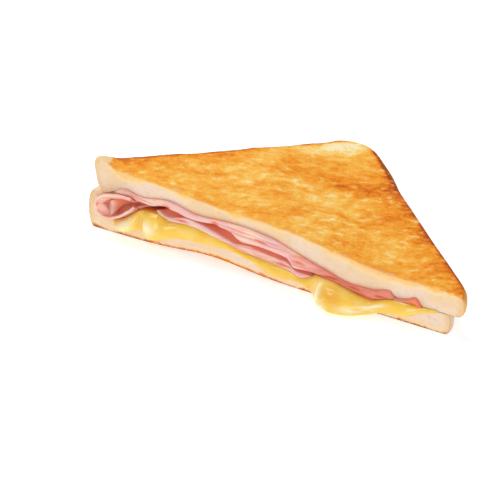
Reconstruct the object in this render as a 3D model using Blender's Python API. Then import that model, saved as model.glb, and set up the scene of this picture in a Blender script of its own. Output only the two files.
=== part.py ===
"""Half of a toasted ham and cheese sandwich, cut corner to corner.

Two slices of toasted white bread hold melted cheese and folded ham. The long cut face looks towards -Y,
the two crust sides meet behind it at a rounded corner, and the sandwich lies flat on its bottom slice.
It gapes at its left tip, where a folded slice of ham curls out, and is pressed thin at its right tip.
"""

import math

import bmesh
import bpy
import numpy as np

MM = 0.001

# The square slice of bread before it is cut
SLICE_SIDE = 115.0 * MM
CORNER_RADIUS = 12.0 * MM
BACK_CORNER_RADIUS = 14.0 * MM
CORNER_SWELL = 1.6 * MM  # the back corner stands out past its two straight sides
CORNER_SWELL_REACH = 17.0 * MM
CRUST_BULGE = 1.1 * MM  # the crust sides stand out this much past the square
RIGHT_BULGE = 1.4 * MM  # and the right one this much more near its back end
RIGHT_BULGE_PLACE = 31.0 * MM  # along that side, from the middle of the square
RIGHT_BULGE_REACH = 11.0 * MM

# The half that the cut leaves: a triangle whose long side is the cut
HALF_CUT = SLICE_SIDE * math.sqrt(0.5)
TIP_X = HALF_CUT - CORNER_RADIUS * (math.sqrt(2) - 1)
CUT_Y = -HALF_CUT / 3  # the origin lies under the triangle's centroid

# Heights of the stack over the resting face, from the left tip to the right tip
STACK_HEIGHT = 22.8 * MM
STACK_FALL = 0.0765  # the toasted face falls this much for each unit of length to the right
SLICE_THICKNESS = 9.3 * MM
SLICE_THINNING = 0.018  # the slices get thinner to the right at this rate
INNER_PRESS = 1.0 * MM  # the filling presses each slice thinner inside its crust
SLICE_OFFSET = 2.2 * MM  # the top slice slid this far right, the bottom slice as far left
CRUST_LIFT = 0.6 * MM  # the toasted face stands this much higher along the crust sides
MIDDLE_DOME = 1.1 * MM  # it rises this much at the middle of the cut
RIGHT_DIP = 1.2 * MM  # and sinks this much right of it
LEFT_LIP = 3.0 * MM  # the top slice's left corner turns up
LEFT_FLARE = 2.2 * MM  # and leans outwards
LEFT_CURL = 7.2 * MM  # the bottom slice's left corner curls up round the ham
CRUST_ROUND = 1.6 * MM  # rounding of the crust sides' edges
CRUST_DROP = 0.2 * MM  # the faces dip this much at those edges
CUT_ROUND = 0.4 * MM  # rounding of the cut edges
ARCH_HEIGHT = 2.6 * MM  # the bottom slice lifts off a little along its cut edge
ARCH_X = -24.0 * MM
ARCH_WIDTH = 19.0 * MM
ARCH_DEPTH = 18.0 * MM

GAP = 0.50 * MM  # clearance between pieces that lie on each other
HAM_GAP = 0.62 * MM  # a sheet of ham keeps this much off its neighbours

# Heights of the layers at the cut face, as (x, z) in millimetres. Between them a smooth curve runs.
TOP_SLICE_UNDERSIDE = ((-80, 16.4), (-72, 17.0), (-66, 19.4), (-62, 20.8), (-55, 19.5), (-43, 21.4), (-30, 19.0),
                       (-14, 19.9), (0, 18.9), (12, 15.3), (22, 12.5), (36, 9.1), (43, 8.9), (49, 11.2),
                       (53, 9.6), (57, 10.2), (60.5, 11.8), (64, 8.7), (70, 8.8), (80, 9.1))
BOTTOM_SLICE_TOP = ((-72, 8.8), (-66, 6.6), (-58, 8.0), (-40, 8.8), (-22, 9.0), (-9, 7.6), (5, 5.2), (16, 3.6),
                    (30, 3.6), (43, 3.4), (52, 5.0), (64, 7.1), (70, 8.0), (80, 8.4))
CHEESE_TOP = ((-68, 7.3), (-64.5, 8.0), (-61, 9.8), (-55, 14.2), (-47, 15.3), (-42, 13.2), (-34, 13.8), (-22, 12.0),
              (-9, 9.3), (3, 8.2), (9, 7.4), (14, 5.2), (19, 6.6), (25, 8.4), (32, 7.4), (43, 5.5), (49, 7.4),
              (53, 8.1), (57, 8.5), (61, 8.0), (66, 7.9))
LOWER_HAM_TOP = ((-48, 17.0), (-43, 15.0), (-34, 16.7), (-29, 16.0), (-22, 14.5), (-14, 12.3), (-8, 12.5),
                 (1, 11.1), (8, 10.9), (13, 7.9), (19, 8.1))
UPPER_HAM_UNDERSIDE = ((-68, 17.2), (-62, 18.6), (-56, 17.9), (-51, 17.4), (-45, 18.9), (-37, 17.3), (-30, 17.0),
                       (-24, 17.6), (-16, 16.6), (-10.5, 13.2), (-4, 13.9), (8, 12.6), (12, 9.4), (19, 10.0),
                       (28, 8.5), (36, 6.9), (43, 5.7), (49, 7.8), (54, 8.6))
CAVITY_DEPTH = 11.0 * MM  # behind the cut face the layers close up over this depth
FILLING_MARGIN = 4.0 * MM  # the filling stops this far inside the crust sides
FILLING_BACK = 17.0 * MM  # and this far short of where the crust sides would meet
CHEESE_SHARE = 0.36  # of the room between the slices, away from the cut face
LOWER_HAM_SHARE = 0.30

# Cheese that ran out of the cut, as (x, distance out of the cut face) and (x, lowest z), in millimetres
CHEESE_RUN_OUT = ((-68, 1.2), (-65.5, 3.8), (-60.5, 5.4), (-55.5, 4.4), (-53.8, 3.4), (-51.5, 5.0), (-47, 6.3),
                  (-42, 4.6), (-37, 2.7), (-26, 1.8), (-18, 0.9), (-8, 1.4), (2, 2.0), (12, 1.1), (18, 1.8),
                  (22, 4.4), (26, 7.8), (31, 8.8), (37, 7.3), (43, 4.6), (50, 2.6), (58, 3.2), (65, 1.0))
CHEESE_RUN_DOWN = ((-68, 6.0), (-65.5, 5.0), (-61.5, 4.7), (-57.5, 5.6), (-55.5, 6.4), (-53, 5.6), (-48, 4.8),
                   (-42, 6.4), (-34, 7.4), (-26, 7.8), (-18, 8.4), (-8, 7.0), (2, 4.0), (8, 3.2), (12, 3.6),
                   (18, 2.6), (22, 1.8), (26, 0.4), (31, 0.3), (37, 0.4), (43, 1.2), (50, 2.7), (58, 4.2),
                   (65, 6.9))
CHEESE_LEFT = -67.0 * MM
CHEESE_RIGHT = 66.0 * MM

UPPER_HAM_ENDS = (-67.0 * MM, 53.0 * MM)
LOWER_HAM_ENDS = (-48.0 * MM, 19.0 * MM)
HAM_SCRAP_ENDS = (56.5 * MM, 62.5 * MM)

# The folded slice of ham at the left tip: a drop-shaped loop whose point is on its right
ROLL_CENTRE = (-64.4 * MM, 14.7 * MM)
ROLL_HALF_LENGTH = 10.6 * MM
ROLL_HALF_HEIGHT = 6.3 * MM
ROLL_TILT = math.radians(23)
ROLL_TUCK_IN = (1.0 * MM, -1.3 * MM)  # behind the cut face its middle lies this much off the centre
ROLL_THICKNESS = 1.2 * MM
ROLL_OVER_BREAD = 1.4 * MM  # more than GAP, because the bread is steep under it
ROLL_OVER_CHEESE = 0.3 * MM
ROLL_OPENING = 0.78  # radians of the drop left open at its point, on each side

BREAD_COLOUR = (0.90, 0.66, 0.38, 1.0)
HAM_COLOUR = (0.80, 0.42, 0.36, 1.0)
CHEESE_COLOUR = (0.86, 0.58, 0.16, 1.0)


def clear_scene():
    for old in list(bpy.data.objects):
        bpy.data.objects.remove(old)


def food_material(name, colour, roughness):
    material = bpy.data.materials.new(name)
    material.use_nodes = True
    shader = material.node_tree.nodes["Principled BSDF"]
    shader.inputs["Base Color"].default_value = colour
    shader.inputs["Roughness"].default_value = roughness
    shader.inputs["Metallic"].default_value = 0.0
    return material


def smooth_step(low, high, value):
    share = np.clip((value - low) / (high - low), 0.0, 1.0)
    return share * share * (3 - 2 * share)


def hump(value, centre, width):
    return np.exp(-(((value - centre) / width) ** 2))


def smooth_curve(table, x):
    """The smooth curve through a table of millimetres, with a level tangent at each local high and low."""
    places, heights = np.array(table, float).T * MM
    slopes = np.diff(heights) / np.diff(places)
    before, after = slopes[:-1], slopes[1:]
    steady = before * after > 0
    inner = np.where(steady, 2 * before * after / np.where(steady, before + after, 1), 0)
    tangents = np.concatenate([slopes[:1], inner, slopes[-1:]])
    x = np.clip(x, places[0], places[-1])
    i = np.clip(np.searchsorted(places, x) - 1, 0, len(places) - 2)
    width = places[i + 1] - places[i]
    t = (x - places[i]) / width
    return (
        heights[i] * (1 + 2 * t) * (1 - t) ** 2
        + heights[i + 1] * t * t * (3 - 2 * t)
        + width * tangents[i] * t * (1 - t) ** 2
        - width * tangents[i + 1] * t * t * (1 - t)
    )


def side_distance(x, y, offset=0.0):
    """How far a point lies inside the nearer crust side."""
    return (HALF_CUT - (y - CUT_Y) - np.abs(x - offset)) * math.sqrt(0.5)


def inside_share(x, y, offset):
    """0 at the crust sides and 1 well inside them."""
    return smooth_step(2.0 * MM, 12.0 * MM, side_distance(x, y, offset))


def slice_thickness(x):
    return SLICE_THICKNESS - SLICE_THINNING * x


def toasted_face(x, y):
    """The outer face of the top slice: a slope to the right with low swells and a lip at the left tip."""
    depth = y - CUT_Y
    swells = 0.45 * MM * np.sin(x / (9 * MM) + 0.8) * np.cos(depth / (11 * MM) - 0.4)
    lip = LEFT_LIP * hump(x, -TIP_X + SLICE_OFFSET + 2.0 * MM, 3.4 * MM) * (1 - smooth_step(1 * MM, 10 * MM, depth))
    dome = MIDDLE_DOME * hump(x, -6 * MM, 27 * MM) * (1 - smooth_step(0, 34 * MM, depth))
    dip = RIGHT_DIP * hump(x, 50 * MM, 14 * MM) * (1 - smooth_step(0, 26 * MM, depth))
    lift = CRUST_LIFT * (1 - smooth_step(0, 16 * MM, side_distance(x, y, SLICE_OFFSET)))
    return STACK_HEIGHT - STACK_FALL * x + swells + lip + dome - dip + lift


def top_slice_underside(x, y):
    at_cut = smooth_curve(TOP_SLICE_UNDERSIDE, x)
    inside = STACK_HEIGHT - STACK_FALL * x - slice_thickness(x) + INNER_PRESS * inside_share(x, y, SLICE_OFFSET)
    blend = smooth_step(0, 24 * MM, y - CUT_Y)
    return at_cut * (1 - blend) + inside * blend


def bottom_slice_top(x, y):
    at_cut = smooth_curve(BOTTOM_SLICE_TOP, x)
    inside = slice_thickness(x) - INNER_PRESS * inside_share(x, y, -SLICE_OFFSET)
    blend = smooth_step(0, 20 * MM, y - CUT_Y)
    along = (x + TIP_X + (y - CUT_Y)) * math.sqrt(0.5)
    inward = (x + TIP_X - (y - CUT_Y)) * math.sqrt(0.5)
    curl = LEFT_CURL * hump(np.maximum(inward, -1 * MM), -1 * MM, 3.1 * MM)
    return at_cut * (1 - blend) + inside * blend + curl * (1 - smooth_step(5 * MM, 19 * MM, along))


def bottom_slice_underside(x, y):
    lift = ARCH_HEIGHT * hump(x, ARCH_X, ARCH_WIDTH) * (1 - smooth_step(0, ARCH_DEPTH, y - CUT_Y))
    return np.where(lift > 0.02 * MM, lift, 0.0)


def cheese_top(x, y):
    room = top_slice_underside(x, y) - bottom_slice_top(x, y)
    inside = bottom_slice_top(x, y) + CHEESE_SHARE * room
    blend = smooth_step(0, CAVITY_DEPTH, y - CUT_Y)
    return smooth_curve(CHEESE_TOP, x) * (1 - blend) + inside * blend


def lower_ham_top(x, y):
    room = top_slice_underside(x, y) - bottom_slice_top(x, y)
    inside = bottom_slice_top(x, y) + (CHEESE_SHARE + LOWER_HAM_SHARE) * room
    blend = smooth_step(0, CAVITY_DEPTH, y - CUT_Y)
    return smooth_curve(LOWER_HAM_TOP, x) * (1 - blend) + inside * blend


def upper_ham_underside(x, y):
    room = top_slice_underside(x, y) - bottom_slice_top(x, y)
    over_lower_ham = smooth_step(LOWER_HAM_ENDS[0] - 6 * MM, LOWER_HAM_ENDS[0], x)
    over_lower_ham = over_lower_ham * (1 - smooth_step(LOWER_HAM_ENDS[1], LOWER_HAM_ENDS[1] + 6 * MM, x))
    share = CHEESE_SHARE + LOWER_HAM_SHARE * np.maximum(over_lower_ham, x < LOWER_HAM_ENDS[0])
    inside = bottom_slice_top(x, y) + share * room + GAP
    blend = smooth_step(0, CAVITY_DEPTH, y - CUT_Y)
    return smooth_curve(UPPER_HAM_UNDERSIDE, x) * (1 - blend) + inside * blend


def slice_outline(offset, wobble_phase):
    """The half slice seen from above, anticlockwise from the left tip.

    Returns the points, the inward step that rounds their edges and how crusty each point is: 0 on the cut, 1 on
    the crust.
    """
    points, normals, crust = [], [], []

    def add(x, y, angle, crustiness):
        points.append((x, y))
        normals.append((math.cos(angle), math.sin(angle)))
        crust.append(crustiness)

    cut_steps, arc_steps, side_steps, corner_steps = 48, 3, 11, 8
    for i in range(cut_steps + 1):
        evenly = 2 * i / cut_steps - 1
        closer_at_ends = -math.cos(math.pi * i / cut_steps)
        add(TIP_X * (0.65 * evenly + 0.35 * closer_at_ends), 0.0, -math.pi / 2, 0.0)
    arc_centre = HALF_CUT - CORNER_RADIUS * math.sqrt(2)
    side_start = (arc_centre + CORNER_RADIUS * math.sqrt(0.5), CORNER_RADIUS * math.sqrt(0.5))
    corner_centre = HALF_CUT - BACK_CORNER_RADIUS * math.sqrt(2)
    side_end = (BACK_CORNER_RADIUS * math.sqrt(0.5), corner_centre + BACK_CORNER_RADIUS * math.sqrt(0.5))
    right_side = []
    for i in range(1, arc_steps + 1):
        angle = math.pi / 4 * i / arc_steps
        place = (arc_centre + CORNER_RADIUS * math.cos(angle), CORNER_RADIUS * math.sin(angle))
        right_side.append((*place, angle))
    for i in range(1, side_steps + 1):
        share = i / side_steps
        x = side_start[0] + (side_end[0] - side_start[0]) * share
        y = side_start[1] + (side_end[1] - side_start[1]) * share
        right_side.append((x, y, math.pi / 4))
    for i in range(1, corner_steps // 2 + 1):
        angle = math.pi / 4 + math.pi / 4 * i / (corner_steps // 2)
        x = BACK_CORNER_RADIUS * math.cos(angle)
        right_side.append((x, corner_centre + BACK_CORNER_RADIUS * math.sin(angle), angle))
    for x, y, angle in right_side:
        add(x, y, angle, 1.0)
    for x, y, angle in reversed(right_side[:-1]):
        add(-x, y, math.pi - angle, 1.0)

    points, normals, crust = np.array(points), np.array(normals), np.array(crust)
    from_corner = np.hypot(points[:, 0], points[:, 1] - (HALF_CUT - 6 * MM))
    swell = CORNER_SWELL * hump(from_corner, 0, CORNER_SWELL_REACH)
    along_side = points[:, 0] + points[:, 1]
    wobble = 0.35 * MM * np.sin(along_side / (5 * MM) + wobble_phase) * np.sin(points[:, 0] / (13 * MM))
    along_right = (points[:, 1] - points[:, 0]) * math.sqrt(0.5)
    bulge = CRUST_BULGE + RIGHT_BULGE * hump(along_right, RIGHT_BULGE_PLACE, RIGHT_BULGE_REACH)
    points = points + normals * ((bulge + swell + wobble) * crust)[:, None]
    inward = -normals * (CRUST_ROUND * crust + CUT_ROUND * (1 - crust))[:, None]
    near_tip = smooth_step(TIP_X - 9 * MM, TIP_X, np.abs(points[:, 0])) * (1 - crust)
    inward[:, 0] -= np.sign(points[:, 0]) * CRUST_ROUND * near_tip
    return points + np.array([offset, CUT_Y]), inward, crust


def flare(ring, down, offset):
    """How far the top slice's left corner leans out, most at its toasted face."""
    near = 1 - smooth_step(0, 9 * MM, ring[:, 0] + TIP_X - offset)
    near = near * (1 - smooth_step(2 * MM, 12 * MM, ring[:, 1] - CUT_Y))
    return np.column_stack([-LEFT_FLARE * near * (1 - down) ** 1.2, 0 * near])


def bread_slice(name, offset, wobble_phase, upper, lower, material, leaning=0.0):
    """A slice of bread as rings: from its middle over the top face, down the side wall and back underneath."""
    outline, inward, crust = slice_outline(offset, wobble_phase)
    centre = np.array([offset, 0.0])
    edge = outline + inward
    cap_rings = (0.2, 0.42, 0.62, 0.76, 0.87, 0.94, 0.985)
    wall_rows = ((0.0, 1.0), (0.13, 0.36), (0.36, 0.05), (0.64, 0.05), (0.87, 0.36), (1.0, 1.0))
    rings = []
    for reach in cap_rings:
        ring = centre + (edge - centre) * reach
        leant = ring + leaning * flare(ring, 0.0, offset)
        rings.append(np.column_stack([leant, upper(ring[:, 0], ring[:, 1])]))
    high = upper(edge[:, 0], edge[:, 1]) - CRUST_DROP * crust
    low = lower(edge[:, 0], edge[:, 1]) + CRUST_DROP * crust
    for down, inset in wall_rows:
        ring = outline + inward * inset
        leant = ring + leaning * flare(ring, down, offset)
        rings.append(np.column_stack([leant, high + (low - high) * down]))
    for reach in reversed(cap_rings):
        ring = centre + (edge - centre) * reach
        rings.append(np.column_stack([ring, lower(ring[:, 0], ring[:, 1])]))
    poles = [(*centre, float(face(*centre))) for face in (upper, lower)]
    return loft(name, np.array(rings), material, poles=poles)


def filling_depths(steps, front, nearness=1.7):
    """Distances behind the cut face, close together near it. The first is in front of the face."""
    back = HALF_CUT - FILLING_BACK
    return -front + (back + front) * np.linspace(0, 1, steps) ** nearness


def towards_back(x, depth):
    """Narrows a row of the filling with its depth, as the triangle does, so that it keeps off the crust."""
    return x * (1 - np.maximum(depth, 0) / (HALF_CUT - FILLING_MARGIN))


def layer_slab(name, ends, steps, underside, top, front, material):
    """A slice of ham as a slab between two height functions. Its front edge is rounded and stands out a little."""
    sections = []
    for share in np.linspace(0, 1, steps):
        cut_x = ends[0] + (ends[1] - ends[0]) * share
        ruffle = front * (0.75 + 0.5 * math.sin(cut_x / (5.3 * MM)))
        depth = filling_depths(8, ruffle)
        x, y = towards_back(cut_x, depth), CUT_Y + depth
        low, high = underside(x, y) + HAM_GAP, top(x, y) - HAM_GAP
        middle = (low + high) / 2
        high = np.maximum(high, middle + 0.25 * MM)
        low = np.minimum(low, middle - 0.25 * MM)
        pinch = np.ones(len(depth))
        pinch[[0, -1]] = 0.55
        end_pinch = 0.45 + 0.55 * min(1.0, 12 * share, 12 * (1 - share))
        high = middle + (high - middle) * pinch * end_pinch
        low = middle + (low - middle) * pinch * end_pinch
        lower_chain = np.column_stack([x, y, low])
        upper_chain = np.column_stack([x, y, high])
        sections.append(np.concatenate([lower_chain, upper_chain[::-1]]))
    return loft(name, np.array(sections), material)


def cheese_layer(name, material):
    """Melted cheese: a layer on the bottom slice whose front edge bulges, hangs and drips out of the cut."""
    sections = []
    for share in np.linspace(0, 1, 54):
        cut_x = CHEESE_LEFT + (CHEESE_RIGHT - CHEESE_LEFT) * share
        out = float(smooth_curve(CHEESE_RUN_OUT, np.array(cut_x)))
        rest = float(bottom_slice_top(np.array(cut_x), CUT_Y)) + GAP
        down = min(float(smooth_curve(CHEESE_RUN_DOWN, np.array(cut_x))), rest - 0.1 * MM)
        depth = filling_depths(7, 0.0)[1:]
        x, y = towards_back(cut_x, depth), CUT_Y + depth
        low = bottom_slice_top(x, y) + GAP
        high = np.maximum(cheese_top(x, y), low + 0.5 * MM)
        high[-1] = (low[-1] + high[-1]) / 2 + 0.15 * MM
        top = max(float(cheese_top(np.array(cut_x), CUT_Y)), rest + 0.6 * MM)
        face_y = CUT_Y - GAP
        foot = 1.2 * MM if down < 2 * MM else 0.0
        lower_chain = np.array(
            [(cut_x, face_y, rest), (cut_x, face_y, (rest + down) / 2), (cut_x, face_y - 0.15 * out, down)]
        )
        bulge = [(0.70, 0.03), (0.97, 0.20), (1.0, 0.42), (0.82, 0.68), (0.46, 0.90), (0.12, 1.0)]
        front_chain = []
        for outward, upward in bulge:
            z = down + (top - down) * upward
            front_chain.append((cut_x, face_y - out * outward - foot * (upward < 0.3), z))
        back_low = np.column_stack([x, y, low])[::-1]
        back_high = np.column_stack([x, y, high])
        sections.append(np.concatenate([back_low, lower_chain, front_chain, back_high]))
    return loft(name, np.array(sections), material)


def ham_roll(name, material):
    """A slice of ham folded into a drop-shaped loop that flares out of the cut at the left tip."""
    angles = np.linspace(ROLL_OPENING, 2 * math.pi - ROLL_OPENING, 26)
    depths = np.array([-3.0, -1.9, -0.9, 0.8, 3.0, 5.5, 8.0]) * MM
    tucks = np.array([0.0, 0.3, 0.85, 1.0, 1.0, 1.0, 1.0])
    sections = []
    for angle in angles:
        outer = roll_wall(angle, depths, tucks, ROLL_THICKNESS / 2)
        inner = roll_wall(angle, depths, tucks, -ROLL_THICKNESS / 2)
        sections.append(np.concatenate([outer, inner[::-1]]))
    return loft(name, np.array(sections), material)


def roll_line(turn, depth, tuck):
    """The middle line of the roll's wall, kept between what it lies on and what lies on it."""
    length = ROLL_HALF_LENGTH * (1 - 0.10 * tuck)
    height = ROLL_HALF_HEIGHT * (1 - 0.12 * tuck) * (1 - 0.03 * depth / MM * (depth > 0))
    u = length * math.cos(turn)
    w = height * math.sin(turn) * math.sin(turn / 2)
    x = ROLL_CENTRE[0] + ROLL_TUCK_IN[0] * tuck + u * math.cos(ROLL_TILT) - w * math.sin(ROLL_TILT)
    x = x + np.maximum(depth, 0.0)
    z = ROLL_CENTRE[1] + ROLL_TUCK_IN[1] * tuck + u * math.sin(ROLL_TILT) + w * math.cos(ROLL_TILT)
    y = CUT_Y + np.maximum(depth, 0.0)
    clear = GAP + ROLL_THICKNESS / 2
    over_bread = bottom_slice_top(x, y) + ROLL_OVER_BREAD
    over_cheese = np.maximum(cheese_top(x, y) + ROLL_OVER_CHEESE, over_bread)
    floor = np.where(x > CHEESE_LEFT - 0.8 * MM, over_cheese, over_bread)
    ceiling = np.where(x > UPPER_HAM_ENDS[0] - 0.8 * MM, upper_ham_underside(x, y), top_slice_underside(x, y))
    return x, z + (np.clip(z, floor + clear, ceiling - clear) - z) * tuck


def roll_wall(turn, depth, tuck, offset):
    """One face of the roll's wall: its middle line moved sideways by half the wall's thickness."""
    x, z = roll_line(turn, depth, tuck)
    ahead, behind = roll_line(turn + 0.02, depth, tuck), roll_line(turn - 0.02, depth, tuck)
    tangent = np.array([ahead[0] - behind[0], ahead[1] - behind[1]])
    tangent = tangent / np.linalg.norm(tangent, axis=0)
    return np.column_stack([x + tangent[1] * offset, CUT_Y + depth, z - tangent[0] * offset])


def ham_inner_fold(name, material):
    """A short ruffle of ham that stands inside the roll, its edge upright towards the front."""
    sections = []
    for share in np.linspace(0, 1, 6):
        depth = (-2.2 + 6.2 * share) * MM
        x = (-68.6 + 6.6 * share ** 1.2) * MM
        low = (10.3 + 2.6 * smooth_step(0, 0.5, share)) * MM
        high = (14.6 + 0.6 * share) * MM
        half = 0.55 * MM
        corners = [(x - half, low), (x + half, low), (x + half * 1.2, (low + high) / 2), (x + half, high)]
        corners += [(x - half, high), (x - half * 1.2, (low + high) / 2)]
        sections.append([(cx, CUT_Y + depth, cz) for cx, cz in corners])
    return loft(name, np.array(sections), material)


def ham_scrap(name, material):
    """The small end of ham near the right tip, between the top slice and the cheese."""
    sections = []
    for share in np.linspace(0, 1, 6):
        x = HAM_SCRAP_ENDS[0] + (HAM_SCRAP_ENDS[1] - HAM_SCRAP_ENDS[0]) * share
        depth = np.array([-1.0, 0.5, 2.0, 5.0]) * MM
        low = np.maximum(cheese_top(x, CUT_Y + depth), bottom_slice_top(x, CUT_Y + depth) + GAP) + GAP
        room = top_slice_underside(x, CUT_Y + depth) - GAP - low
        filled = np.array([0.7, 0.8, 0.5, 0.35]) * (0.7 + 0.3 * math.sin(math.pi * share))
        y = CUT_Y + depth
        lower_chain = np.column_stack([np.full(4, x), y, low])
        upper_chain = np.column_stack([np.full(4, x), y, low + room * filled])
        sections.append(np.concatenate([lower_chain, upper_chain[::-1]]))
    return loft(name, np.array(sections), material)


def loft(name, sections, material, poles=None):
    """A closed solid over a row of closed sections. Each end is closed by a fan to its pole, or by a flat ladder."""
    count, around = sections.shape[:2]
    shell = bmesh.new()
    rows = [[shell.verts.new(point) for point in section] for section in sections]
    for near, far in zip(rows, rows[1:]):
        for i in range(around):
            j = (i + 1) % around
            shell.faces.new((near[i], near[j], far[j], far[i]))
    if poles:
        for pole, row in zip(poles, (rows[0], rows[-1])):
            tip = shell.verts.new(pole)
            for i in range(around):
                shell.faces.new((row[(i + 1) % around], row[i], tip))
    else:
        for row in (rows[0], rows[-1]):
            for i in range((around - 1) // 2):
                corners = (row[i], row[i + 1], row[around - 2 - i], row[around - 1 - i])
                shell.faces.new(dict.fromkeys(corners))
    bmesh.ops.recalc_face_normals(shell, faces=shell.faces)
    if shell.calc_volume(signed=True) < 0:
        bmesh.ops.reverse_faces(shell, faces=shell.faces)
    mesh = bpy.data.meshes.new(name)
    shell.to_mesh(mesh)
    shell.free()
    mesh.materials.append(material)
    mesh.shade_smooth()
    mesh.set_sharp_from_angle(angle=math.radians(50))
    solid = bpy.data.objects.new(name, mesh)
    bpy.context.scene.collection.objects.link(solid)
    return solid


def build_sandwich():
    clear_scene()
    bread = food_material("toasted_bread", BREAD_COLOUR, 0.75)
    ham = food_material("ham", HAM_COLOUR, 0.45)
    cheese = food_material("melted_cheese", CHEESE_COLOUR, 0.3)
    bread_slice("bread_bottom", -SLICE_OFFSET, 0.6, bottom_slice_top, bottom_slice_underside, bread)
    bread_slice("bread_top", SLICE_OFFSET, 2.1, toasted_face, top_slice_underside, bread, leaning=1.0)
    cheese_layer("cheese", cheese)
    layer_slab("ham_lower", LOWER_HAM_ENDS, 22, cheese_top, lower_ham_top, 1.2 * MM, ham)
    layer_slab("ham_upper", UPPER_HAM_ENDS, 40, upper_ham_underside, top_slice_underside, 1.5 * MM, ham)
    ham_roll("ham_roll", ham)
    ham_inner_fold("ham_inner_fold", ham)
    ham_scrap("ham_scrap", ham)


build_sandwich()
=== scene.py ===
import math

import bpy
import numpy as np
from mathutils import Matrix, Vector


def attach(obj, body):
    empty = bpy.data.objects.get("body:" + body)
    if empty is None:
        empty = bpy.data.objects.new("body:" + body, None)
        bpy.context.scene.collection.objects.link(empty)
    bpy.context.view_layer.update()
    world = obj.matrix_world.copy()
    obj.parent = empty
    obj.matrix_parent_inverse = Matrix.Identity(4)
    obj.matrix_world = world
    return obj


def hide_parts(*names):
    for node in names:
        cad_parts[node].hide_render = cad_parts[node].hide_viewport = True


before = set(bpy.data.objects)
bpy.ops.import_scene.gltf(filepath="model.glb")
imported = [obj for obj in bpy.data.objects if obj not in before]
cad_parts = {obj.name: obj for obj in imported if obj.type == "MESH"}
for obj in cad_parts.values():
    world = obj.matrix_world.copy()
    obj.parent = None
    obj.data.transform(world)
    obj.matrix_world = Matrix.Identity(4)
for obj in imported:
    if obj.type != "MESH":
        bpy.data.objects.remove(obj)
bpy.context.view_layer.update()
mm = 0.001
print("stage: frame loaded with", len(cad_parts), "nodes")


# Curves and noise on whole arrays

def smoothStep(low, high, value):  # 0 at low, 1 at high and 3s^2 - 2s^3 between
    share = np.clip((value - low) / (high - low), 0.0, 1.0)
    return share * share * (3 - 2 * share)


def hump(value, centre, width):  # the bell curve e^-((value - centre) / width)^2
    return np.exp(-(((value - centre) / width) ** 2))


def throughPoints(table, x, unit=mm):
    # Hermite cubics through the table's points; each tangent is the harmonic mean of the slopes beside it
    places, heights = np.array(table, float).T * unit
    slopes = np.diff(heights) / np.diff(places)
    before, after = slopes[:-1], slopes[1:]
    steady = before * after > 0
    inner = np.where(steady, 2 * before * after / np.where(steady, before + after, 1), 0)
    tangents = np.concatenate([slopes[:1], inner, slopes[-1:]])
    x = np.clip(x, places[0], places[-1])
    i = np.clip(np.searchsorted(places, x) - 1, 0, len(places) - 2)
    width = places[i + 1] - places[i]
    t = (x - places[i]) / width
    return (heights[i] * (1 + 2 * t) * (1 - t) ** 2 + heights[i + 1] * t * t * (3 - 2 * t)
            + width * tangents[i] * t * (1 - t) ** 2 - width * tangents[i + 1] * t * t * (1 - t))


def cellRandom(cell, seed):  # a fixed number from 0 to 1 for each whole-number cell
    mixed = cell[..., 0] * 73856093 ^ cell[..., 1] * 19349663 ^ cell[..., 2] * 83492791 ^ (seed * 2654435761)
    mixed = ((mixed ^ (mixed >> 13)) & 0xFFFFFFFF) * 1274126177
    mixed = ((mixed ^ (mixed >> 16)) & 0xFFFFFFFF) * 668265263
    return ((mixed >> 7) & 0xFFFFFF) / 0x1000000


def softNoise(points, size, seed, layers=1):
    # value noise from -1 to 1: random corner values blended across each cell, in layers that each
    # have half the size and half the height of the one before
    total, height, reach = 0.0, 1.0, 0.0
    for layer in range(layers):
        place = points / size
        base = np.floor(place).astype(np.int64)
        part = place - base
        part = part * part * (3 - 2 * part)
        for corner in np.ndindex(2, 2, 2):
            weight = np.prod(np.where(corner, part, 1 - part), axis=-1)
            total = total + height * weight * (2 * cellRandom(base + corner, seed + layer) - 1)
        reach += height
        height *= 0.5
        size = size * 0.5
    return total / reach


def pitField(points, size, seed, share):
    # round hollows: 1 at the middle of a cell's own random point, falling as (1 - r^2)^1.5 to its random radius
    place = points / size
    base = np.floor(place).astype(np.int64)
    deepest = np.zeros(points.shape[:-1])
    for step in np.ndindex(3, 3, 3):
        cell = base + np.array(step) - 1
        centre = np.stack([cell[..., k] + 0.15 + 0.7 * cellRandom(cell, seed + k) for k in range(3)], axis=-1)
        radius = 0.22 + 0.42 * cellRandom(cell, seed + 3) ** 1.5
        far = np.sum((place - centre) ** 2, axis=-1) / radius ** 2
        pit = np.clip(1 - far, 0, 1) ** 1.5 * (cellRandom(cell, seed + 4) < share) * (0.35 + radius)
        deepest = np.maximum(deepest, pit)
    return deepest


# Meshes from grids of points

def makePiece(name, points, faces, material, marks):
    # turns the faces round if they enclose a negative volume, the sum of corner determinants over 6
    corners = [points[faceSet[:, [0, k, k + 1]]] for faceSet in faces for k in range(1, faceSet.shape[1] - 1)]
    volume = sum(np.einsum("ij,ij->", c[:, 0], np.cross(c[:, 1], c[:, 2])) for c in corners) / 6
    if volume < 0:
        faces = [faceSet[:, ::-1] for faceSet in faces]
    mesh = bpy.data.meshes.new(name)
    mesh.from_pydata(points.tolist(), [], [row for faceSet in faces for row in faceSet.tolist()])
    for mark, values in marks.items():
        attribute = mesh.attributes.new(mark, "FLOAT", "POINT")
        attribute.data.foreach_set("value", np.ravel(values).astype(np.float32))
    mesh.materials.append(material)
    mesh.shade_smooth()
    mesh.update()
    piece = bpy.data.objects.new(name, mesh)
    bpy.context.scene.collection.objects.link(piece)
    return piece


def tubeFaces(rows, around):  # the quads of a grid of rows that closes on itself round each row
    i, j = np.meshgrid(np.arange(rows - 1), np.arange(around), indexing="ij")
    near, far = i * around, (i + 1) * around
    k = (j + 1) % around
    return np.stack([near + j, near + k, far + k, far + j], axis=-1).reshape(-1, 4)


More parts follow.
